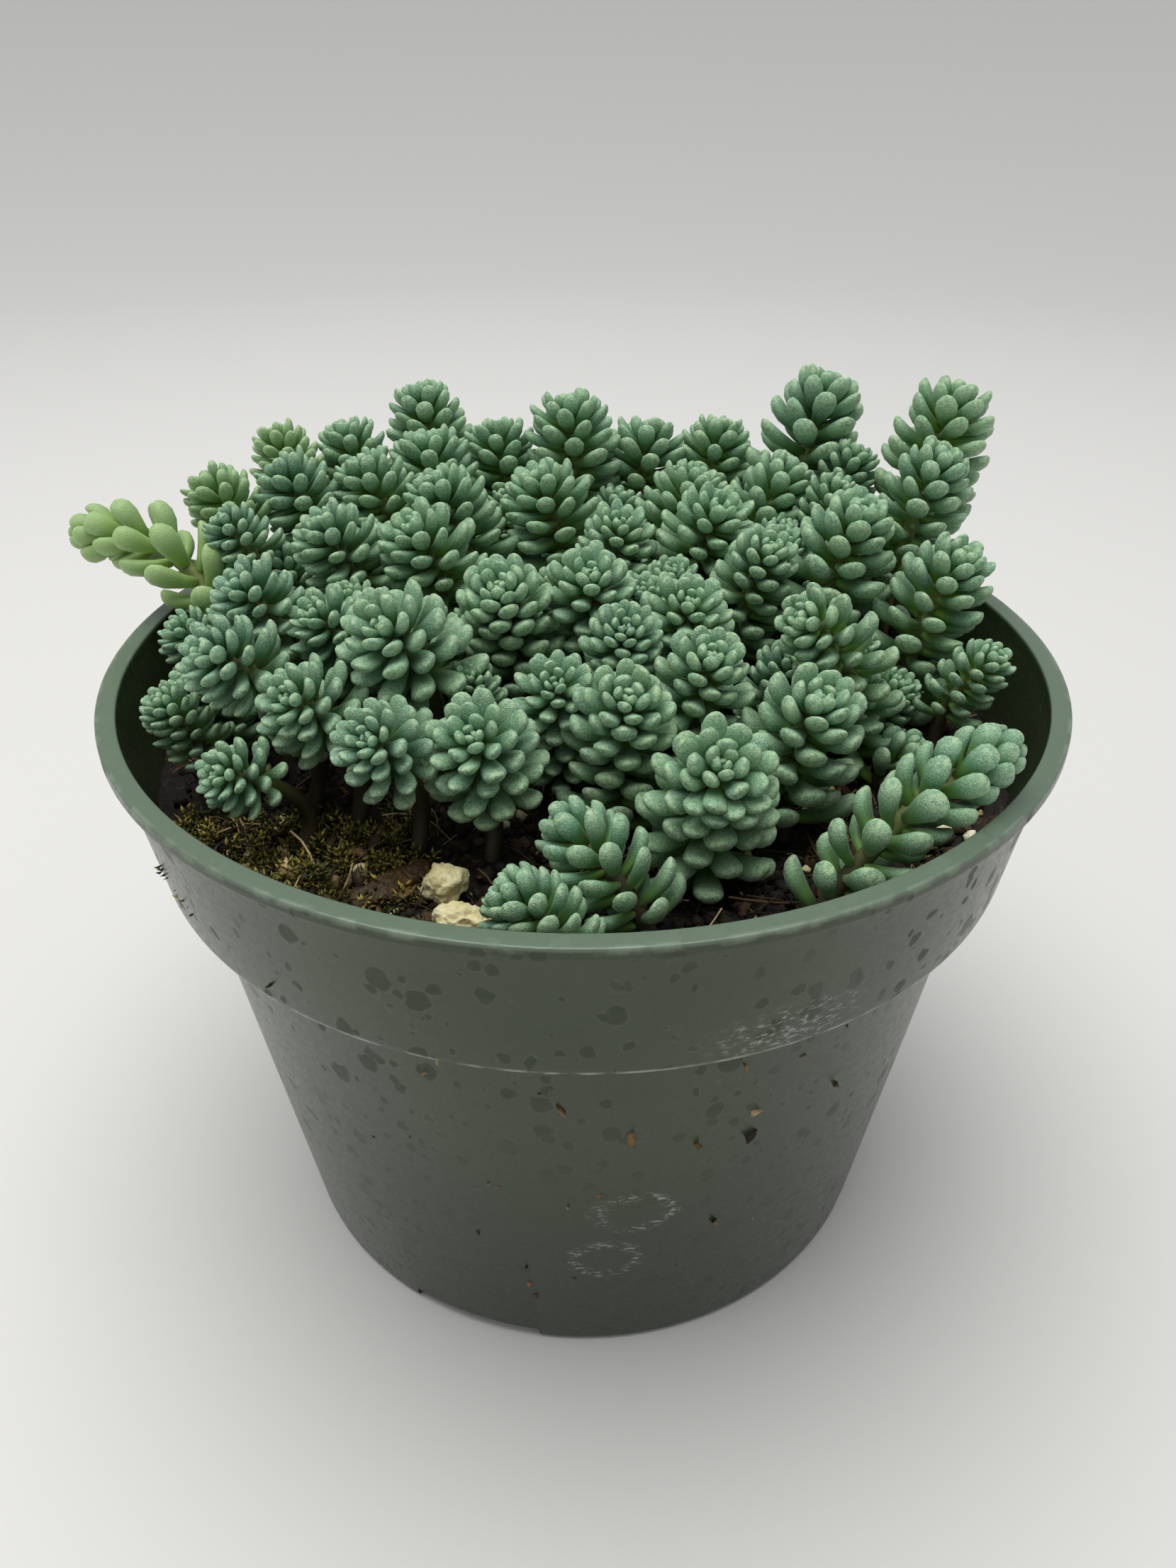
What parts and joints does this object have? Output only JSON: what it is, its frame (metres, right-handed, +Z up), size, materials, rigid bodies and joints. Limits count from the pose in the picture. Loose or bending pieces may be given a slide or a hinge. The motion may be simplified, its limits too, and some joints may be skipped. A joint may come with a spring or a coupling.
{
  "type": "potted sedum",
  "caption": "Cushion of small blue-green stonecrop rosettes growing in peat in a round dark green plastic nursery pot with a collar, lip and drainage gaps.",
  "frame": {"origin": "on the pot's axis, on the surface that the pot stands on", "axes": "+Z up along the pot's axis; -Y is the front, where the soil shows; +X is right seen from the front"},
  "size_m": [0.164, 0.152, 0.139],
  "materials": {
    "pot_plastic": "dark green moulded polypropylene, water-spotted, satin",
    "soil": null,
    "leaf": null,
    "perlite": "rough chalky cream grains",
    "moss": "damp olive moss",
    "bark": "damp red-brown bark"
  },
  "bodies": {
    "root": {"pot": "pot_plastic", "soil": "soil", "perlite_lump_large": "perlite", "perlite_lump_front": "perlite", "moss_patch": "moss", "bark_chip": "bark", "shoot_back_1": "leaf", "shoot_back_2": "leaf", "shoot_back_3": "leaf", "shoot_back_4": "leaf", "shoot_back_5": "leaf", "shoot_back_6": "leaf", "shoot_back_7": "leaf", "shoot_back_8": "leaf", "shoot_back_9": "leaf", "shoot_back_10": "leaf", "shoot_back_11": "leaf", "shoot_back_12": "leaf", "shoot_back_13": "leaf", "shoot_middle_1": "leaf", "shoot_middle_2": "leaf", "shoot_middle_3": "leaf", "shoot_middle_4": "leaf", "shoot_middle_5": "leaf", "shoot_middle_6": "leaf", "shoot_middle_7": "leaf", "shoot_middle_8": "leaf", "shoot_middle_9": "leaf", "shoot_middle_10": "leaf", "shoot_middle_11": "leaf", "shoot_middle_12": "leaf", "shoot_middle_13": "leaf", "shoot_middle_14": "leaf", "shoot_left_1": "leaf", "shoot_left_2": "leaf", "shoot_left_3": "leaf", "shoot_left_4": "leaf", "shoot_left_5": "leaf", "shoot_left_6": "leaf", "shoot_left_7": "leaf", "shoot_left_8": "leaf", "shoot_left_9": "leaf", "shoot_left_10": "leaf", "shoot_right_1": "leaf", "shoot_right_2": "leaf", "shoot_right_3": "leaf", "shoot_front_1": "leaf", "shoot_front_2": "leaf", "shoot_front_3": "leaf", "shoot_front_4": "leaf", "shoot_front_5": "leaf", "shoot_front_6": "leaf", "shoot_front_7": "leaf", "shoot_front_8": "leaf", "shoot_trailing_left": "leaf", "shoot_leaning_right": "leaf", "shoot_facing_front": "leaf", "shoot_reclining_right": "leaf", "shoot_low_front": "leaf", "shoot_low_front_left": "leaf"}
  },
  "joints": []
}
